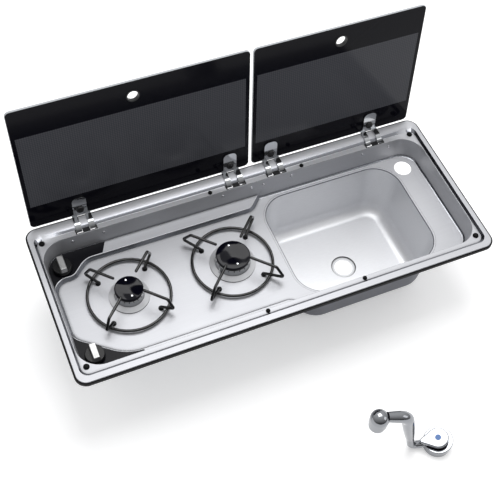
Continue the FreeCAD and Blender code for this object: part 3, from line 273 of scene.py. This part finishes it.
def printed_glass(name, left, right):
    """Pane coloured by height along the leaning lid and by distance from its ends: solid print or
    dot raster, the print's border scalloped by the dots. Smooth glass gives a dim sharp mirror over
    it. Real dots are some 1.5 mm apart and are drawn three times as coarse."""
    material, tree = finish_named(name)
    place = add(tree, "ShaderNodeTexCoord")
    upright = add(tree, "ShaderNodeMapping", {"vector_type": "TEXTURE"}, Vector=(place, "Object"),
                  Location=((left + right) / 2, PANE_FOOT_Y, PANE_FOOT_Z),
                  Rotation=(-LEAN, 0.0, 0.0))
    split = add(tree, "ShaderNodeSeparateXYZ", Vector=(upright, "Vector"))
    flat = add(tree, "ShaderNodeCombineXYZ", X=(split, "X"), Y=(split, "Z"))
    offset = add(tree, "ShaderNodeMath", {"operation": "SUBTRACT"}, i0=(split, "Z"),
                 i1=(PRINT_FOOT + PRINT_HEAD) / 2)
    height = add(tree, "ShaderNodeMath", {"operation": "ABSOLUTE"}, i0=(offset, "Value"))
    dots = add(tree, "ShaderNodeTexVoronoi", {"feature": "F1", "voronoi_dimensions": "2D"},
               Vector=(flat, "Vector"), Scale=1 / DOT_SPACING, Randomness=0.0)
    scallop = add(tree, "ShaderNodeMath", {"operation": "MULTIPLY"}, i0=(dots, "Distance"),
                  i1=DOT_SPACING / 2)
    near = add(tree, "ShaderNodeMath", {"operation": "ADD"}, i0=(height, "Value"),
               i1=(scallop, "Value"))
    between = add(tree, "ShaderNodeMath", {"operation": "LESS_THAN"}, i0=(near, "Value"),
                  i1=(PRINT_HEAD - PRINT_FOOT) / 2)
    along = add(tree, "ShaderNodeMath", {"operation": "ABSOLUTE"}, i0=(split, "X"))
    aside = add(tree, "ShaderNodeMath", {"operation": "ADD"}, i0=(along, "Value"),
                i1=(scallop, "Value"))
    inside = add(tree, "ShaderNodeMath", {"operation": "LESS_THAN"}, i0=(aside, "Value"),
                 i1=(right - left) / 2 - PRINT_SIDE)
    window = add(tree, "ShaderNodeMath", {"operation": "MULTIPLY"}, i0=(between, "Value"),
                 i1=(inside, "Value"))
    raster = add(tree, "ShaderNodeMapRange", Value=(dots, "Distance"), From_Min=DOT_CORE,
                 From_Max=DOT_RIM)
    tone = add(tree, "ShaderNodeMix", {"data_type": "RGBA"}, i0=(raster, "Result"),
               i6=linear(RASTER_LIGHT), i7=linear(RASTER_DARK))
    face = add(tree, "ShaderNodeMix", {"data_type": "RGBA"}, i0=(window, "Value"),
               i6=linear(PRINT), i7=(tone, 2))
    glass = add(tree, "ShaderNodeBsdfPrincipled", Base_Color=(face, 2), Roughness=0.1, IOR=1.5,
                Specular_IOR_Level=0.09)
    add(tree, "ShaderNodeOutputMaterial", Surface=(glass, "BSDF"))
    return material


def ground_edge(name):
    """Ground glass edge: pale grey and satin, its gloss broken by an even noise of grit marks."""
    material, tree = finish_named(name)
    place = add(tree, "ShaderNodeTexCoord")
    grind = add(tree, "ShaderNodeTexNoise", Vector=(place, "Object"), Scale=GRIT_PER_METRE,
                Detail=2.0)
    shade = add(tree, "ShaderNodeMapRange", Value=(grind, "Fac"), To_Min=EDGE_SMOOTH,
                To_Max=EDGE_ROUGH)
    edge = add(tree, "ShaderNodeBsdfPrincipled", Base_Color=linear(EDGE_GREY),
               Roughness=(shade, "Result"))
    add(tree, "ShaderNodeOutputMaterial", Surface=(edge, "BSDF"))
    return material


pane_edge = ground_edge("ground_glass_edge")
# Glass-filled nylon: a soft black with a slight broad shine.
black_nylon = moulded("moulded_black_nylon", "#111114", rough=0.42, grain=0.0009, strength=0.2)
for side in ("left", "right"):
    low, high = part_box(side + "_lid_glass")
    pane = dressed(side + "_lid_glass", printed_glass("printed_glass_" + side, low.x, high.x))
    pane.data.materials.append(pane_edge)
    paint_faces(pane, np.abs(of_faces(pane, "normal") @ ACROSS_PANE) < PANE_FACE)
    dressed(side + "_finger_grommet", black_nylon)
    dressed(side + "_lid_pads", black_nylon)


# Lid hinges: each is one zinc die casting for the leaf and both goose-neck arms, plated with bright
# chrome. It turns on a steel pin in a black nylon housing that is riveted to the recess's back
# wall, and black screws hold its leaf on the glass.
WAVES_PER_METRE = 60.0  # waves in the plating are some 17 mm long
WAVE_STRENGTH, WAVE_DEPTH = 0.05, 0.0005
SLEEKEST, DULLEST = 0.6, 1.6


def plated(name, colour, rough):
    """Bright metal coat: a faint waviness bends its reflections and varies its gloss."""
    material, tree = finish_named(name)
    place = add(tree, "ShaderNodeTexCoord")
    wave = add(tree, "ShaderNodeTexNoise", Vector=(place, "Object"), Scale=WAVES_PER_METRE,
               Detail=1.0)
    shade = add(tree, "ShaderNodeMapRange", Value=(wave, "Fac"), To_Min=rough * SLEEKEST,
                To_Max=rough * DULLEST)
    relief = add(tree, "ShaderNodeBump", Height=(wave, "Fac"), Strength=WAVE_STRENGTH,
                 Distance=WAVE_DEPTH)
    metal = add(tree, "ShaderNodeBsdfPrincipled", Base_Color=linear(colour), Metallic=1.0,
                Roughness=(shade, "Result"), Normal=(relief, "Normal"))
    add(tree, "ShaderNodeOutputMaterial", Surface=(metal, "BSDF"))
    return material


# Chrome plating: nearly a mirror, so that it shows the dark glass and the pale ledge side by side.
bright_chrome = plated("bright_chrome_plating", "#babcbf", rough=0.06)
# Drawn steel: a pale grey gloss, softer than plating.
bright_steel = plated("bright_drawn_steel", "#cfd0d3", rough=0.16)
# Black oxide on steel: black with a small hard highlight.
black_screw = moulded("black_oxide_screw", "#0c0c0e", rough=0.28, grain=0.002, strength=0.1,
                      specular=0.6)
for number in ("1", "2", "3", "4"):
    dressed("hinge_leaf_" + number, bright_chrome)
    dressed("hinge_housing_" + number, black_nylon)
for side in ("left", "right"):
    dressed(side + "_lid_screws", black_screw)
for node in ("hinge_pins", "hinge_rivets"):
    dressed(node, bright_steel)


# Burners: a pressed steel trim ring, its foot painted black as painted shade where it meets the
# deck, a die-cast aluminium head with flame ports and a black enamelled cap held by two rivets. A
# ceramic spark electrode and a thermocouple stand beside each head, and a cast cup under the deck
# mixes gas and air.
RING_SHADE_HEIGHT = 0.0018
PEEL_PER_METRE, FLOW_PER_METRE = 350.0, 25.0  # peel some 3 mm wide, flow some 40 mm long
PEEL_STRENGTH, PEEL_DEPTH = 0.05, 0.0003
PEEL_SMOOTHER, PEEL_ROUGHER = 0.03, 0.05


def enamel(name, colour, rough, waviness, specular=0.2):
    """Fired enamel: a glossy coat over a dark body, whose long flow bends the reflections, with a
    slight orange peel on it."""
    material, tree = finish_named(name)
    place = add(tree, "ShaderNodeTexCoord")
    peel = add(tree, "ShaderNodeTexNoise", Vector=(place, "Object"), Scale=PEEL_PER_METRE,
               Detail=1.0)
    shade = add(tree, "ShaderNodeMapRange", Value=(peel, "Fac"), To_Min=rough - PEEL_SMOOTHER,
                To_Max=rough + PEEL_ROUGHER)
    flow = add(tree, "ShaderNodeTexNoise", Vector=(place, "Object"), Scale=FLOW_PER_METRE,
               Detail=0.0)
    waves = add(tree, "ShaderNodeBump", Height=(flow, "Fac"), Strength=1.0, Distance=waviness)
    relief = add(tree, "ShaderNodeBump", Height=(peel, "Fac"), Strength=PEEL_STRENGTH,
                 Distance=PEEL_DEPTH, Normal=(waves, "Normal"))
    body = add(tree, "ShaderNodeBsdfPrincipled", Base_Color=linear(colour),
               Roughness=(shade, "Result"), Normal=(relief, "Normal"), Specular_IOR_Level=specular)
    add(tree, "ShaderNodeOutputMaterial", Surface=(body, "BSDF"))
    return material


# Die-cast aluminium, turned: a darker, duller grey than the ring around it.
cast_aluminium = satin_steel("machined_cast_aluminium", light="#b5b6b8", dark="#a6a7aa",
                             rough=0.32, grain_length=0.004, grain_width=0.002)
# Polished pressing: the palest steel here, so that the ring stands out from the deck.
polished_ring = satin_steel("pressed_steel_ring", light="#d9dadd", dark="#d0d1d4", rough=0.3,
                            grain_length=0.004, grain_width=0.002, metallic=0.35)
# Painted shade: a thin dull black line round the ring's foot, where it meets the deck.
ring_foot_shade = moulded("burner_ring_painted_shade", "#08080a", rough=0.5, grain=0.0012, strength=0.2,
                    specular=0.2)
# Fired enamel on steel: deep black, mirroring the lamps in wavy patches.
cap_enamel = enamel("fired_black_enamel", "#060610", rough=0.1, waviness=0.012)
# Glazed ceramic: off-white with a small bright highlight.
glazed = moulded("glazed_white_ceramic", "#d9d6cc", rough=0.22, grain=0.002, strength=0.05)
for side in ("left", "right"):
    ring = dressed("burner_ring_" + side, polished_ring)
    ring.data.materials.append(ring_foot_shade)
    # Painted shade: the ring's lowest faces take the black.
    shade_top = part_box("burner_ring_" + side)[0].z + RING_SHADE_HEIGHT
    paint_faces(ring, of_faces(ring, "center")[:, 2] < shade_top)
    dressed("burner_head_" + side, cast_aluminium)
    dressed("burner_cap_" + side, cap_enamel)
    dressed("burner_cup_" + side, cast_aluminium)
dressed("spark_electrodes", glazed)
for node in ("cap_rivets", "thermocouples"):
    dressed(node, bright_steel)


# Pan supports: round steel wire, bent into four fingers and welded to a ring, then coated in black
# enamel. Each finger's pin stands in a rubber bush on the deck, so that the support lifts off.

# Enamel on wire: black, with one thin highlight along the wire.
wire_enamel = enamel("black_wire_enamel", "#040405", rough=0.08, waviness=0.0005, specular=0.6)
for side in ("left", "right"):
    dressed("pan_support_" + side, wire_enamel)
dressed("support_studs", black_rubber)


# Control panels and knobs: printed black sheet stuck on the knob ledges, moulded dials pushed on
# the valves' spindles, and a silver-lacquered grip bar across each dial.

# Printed plastic sheet: flat black with a faint broad shine.
printed_sheet = moulded("printed_black_sheet", "#06060d", rough=0.35, grain=0.0015, strength=0.05,
                        specular=0.15)
# Moulded dial: black, a little glossier than the sheet below it.
dial_plastic = moulded("moulded_black_dial", "#08080a", rough=0.34, grain=0.0008, strength=0.15,
                       specular=0.3)
# Silver lacquer: light grey metal with soft reflections.
silver_lacquer = plated("silver_lacquered_grip", "#acacac", rough=0.34)
for side in ("rear", "front"):
    dressed("control_panel_" + side, printed_sheet)
    dressed("knob_dial_" + side, dial_plastic)
    dressed("knob_bar_" + side, silver_lacquer)


# Gas parts below the deck: cast valves that hang from the knob ledges, their turned brass spindles
# and sleeves, brass injectors under the burners, drawn steel pipes between them, and a zinc-plated
# tray of folded sheet that closes the hob from below.

# Turned brass: warm yellow with fine tool marks.
turned_brass = satin_steel("turned_brass", light="#c9a45a", dark="#b8934a", rough=0.3,
                           grain_length=0.003, grain_width=0.001)
# Zinc plating: a cool grey, blotched where the crystals grew.
zinc_sheet = satin_steel("zinc_plated_sheet", light="#b9bcc0", dark="#a4a7ab", rough=0.4,
                         grain_length=0.02, grain_width=0.008)
for side in ("rear", "front"):
    dressed("gas_valve_" + side, cast_aluminium)
    dressed("valve_spindle_" + side, turned_brass)
    dressed("valve_sleeve_" + side, turned_brass)
dressed("burner_injectors", turned_brass)
for node in ("gas_manifold", "feed_pipe_left", "feed_pipe_right"):
    dressed(node, bright_steel)
dressed("burner_tray", zinc_sheet)


# Tap: brass castings plated with mirror chrome, loose, standing on its own base. The spout folds
# sideways about its stub, a blue mark is set into the lever, and a plastic aerator sits in the
# nozzle.

# Mirror chrome: a dark, clear mirror of the floor and the lamps.
mirror_chrome = plated("mirror_chrome_plating", "#94969a", rough=0.04)
for node in ("tap_base", "tap_lever", "tap_spout", "tap_nozzle"):
    dressed(node, mirror_chrome)
# Blue inlay: one clear blue with a soft shine.
dressed("tap_mark", moulded("blue_inlay", "#0b5fa8", rough=0.25, grain=0.002, strength=0.05))
# Aerator plastic: a dull cream that the nozzle shades.
dressed("tap_aerator", moulded("aerator_mesh_plastic", "#b9b7ae", rough=0.45, grain=0.0015,
                               strength=0.3))


# Studio: a pale painted floor on which the tap stands, a large soft lamp straight above and a
# weaker one from the front right. The room is brightest behind the unit and overhead.
FLOOR_HALF, FLOOR_GAP, FLOOR_GLOW = 6.0, 0.0002, 0.32
FLOOR_CLOUDS_PER_METRE = 1.5  # clouds in the paint are some 700 mm wide
WHITE = (1.0, 1.0, 1.0, 1.0)
BRIGHT_SIDE = (0.15, 0.6, 0.6)
DARK_AT, BRIGHT_AT, DARK_AIR, BRIGHT_AIR = -0.5, 0.7, 0.1, 0.9


def floor_sheet(half, z):
    """Flat square: a 2 by 2 grid of points at (+-half, +-half, z)."""
    u, v = np.meshgrid((-half, half), (-half, half))
    points = np.stack([u.ravel(), v.ravel(), np.full(4, z)], axis=1)
    mesh = bpy.data.meshes.new("studio_floor")
    mesh.from_pydata(points.tolist(), [], [(0, 1, 3, 2)])
    return mesh


# Floor paint: matt white that melts into the background, with soft shadows on it.
floor_paint, floor_tree = finish_named("pale_floor_paint")
floor_place = add(floor_tree, "ShaderNodeTexCoord")
floor_cloud = add(floor_tree, "ShaderNodeTexNoise", Vector=(floor_place, "Object"),
                  Scale=FLOOR_CLOUDS_PER_METRE)
floor_tone = add(floor_tree, "ShaderNodeMix", {"data_type": "RGBA"}, i0=(floor_cloud, "Fac"),
                 i6=linear("#f4f4f5"), i7=linear("#f8f8f8"))
floor_coat = add(floor_tree, "ShaderNodeBsdfPrincipled", Base_Color=(floor_tone, 2), Roughness=0.8,
                 Emission_Color=WHITE, Emission_Strength=FLOOR_GLOW)
add(floor_tree, "ShaderNodeOutputMaterial", Surface=(floor_coat, "BSDF"))
floor_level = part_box("tap_base")[0].z - FLOOR_GAP
floor = bpy.data.objects.new("studio_floor", floor_sheet(FLOOR_HALF, floor_level))
floor.data.materials.append(floor_paint)
bpy.context.scene.collection.objects.link(floor)


def soft_light(name, place, aim, width, depth, watts):
    """Rectangular area light at a place, turned to shine at a point."""
    lamp = bpy.data.lights.new(name, "AREA")
    lamp.shape = "RECTANGLE"
    lamp.size, lamp.size_y = width, depth
    lamp.energy = watts
    holder = bpy.data.objects.new(name, lamp)
    holder.location = place
    holder.rotation_euler = (Vector(aim) - Vector(place)).to_track_quat("-Z", "Y").to_euler()
    bpy.context.scene.collection.objects.link(holder)


# The upper lamp aims a hair off the vertical, which settles how it is turned.
soft_light("overhead_softbox", place=(0.3, 0.7, 2.3), aim=(0.3, 0.70001, 0.0), width=1.5, depth=1.6,
           watts=31.0)
soft_light("front_fill", place=(2.2, -1.6, 1.6), aim=(0.0, 0.0, 0.0), width=1.5, depth=1.5,
           watts=9.0)
world = bpy.data.worlds.new("studio_air")
world.use_nodes = True
sky = world.node_tree
sky.nodes.clear()
direction = add(sky, "ShaderNodeTexCoord")
facing = add(sky, "ShaderNodeVectorMath", {"operation": "DOT_PRODUCT"},
             i0=(direction, "Generated"), i1=BRIGHT_SIDE)
brightness = add(sky, "ShaderNodeMapRange", Value=(facing, "Value"), From_Min=DARK_AT,
                 From_Max=BRIGHT_AT, To_Min=DARK_AIR, To_Max=BRIGHT_AIR)
glow = add(sky, "ShaderNodeBackground", Color=WHITE, Strength=(brightness, "Result"))
add(sky, "ShaderNodeOutputWorld", Surface=(glow, "Background"))
bpy.context.scene.world = world
bpy.context.scene.view_settings.view_transform = "Standard"


# Camera: above the front left corner, looking down on the unit as in the photograph. Its place,
# turn and focal length come from fitting the rim's rectangle in perspective.
IMAGE_PIXELS, FOCAL_PIXELS, SENSOR_MM = 500, 954.408, 36.0
FAR_END = 50.0
VIEW_PLACE = (-0.5471, -0.9677, 1.6137)
RIGHT, DOWN = Vector((0.919, -0.3894, 0.0617)), Vector((-0.2928, -0.7789, -0.5545))
AHEAD = Vector((0.2639, 0.4915, -0.8299))
lens = bpy.data.cameras.new("photo_view")
lens.sensor_width = SENSOR_MM
lens.lens = FOCAL_PIXELS / IMAGE_PIXELS * SENSOR_MM
lens.clip_end = FAR_END
viewer = bpy.data.objects.new("photo_view", lens)
turned = Matrix((RIGHT, -DOWN, -AHEAD)).transposed().to_4x4()
viewer.matrix_world = Matrix.Translation(VIEW_PLACE) @ turned
bpy.context.scene.collection.objects.link(viewer)
bpy.context.scene.camera = viewer
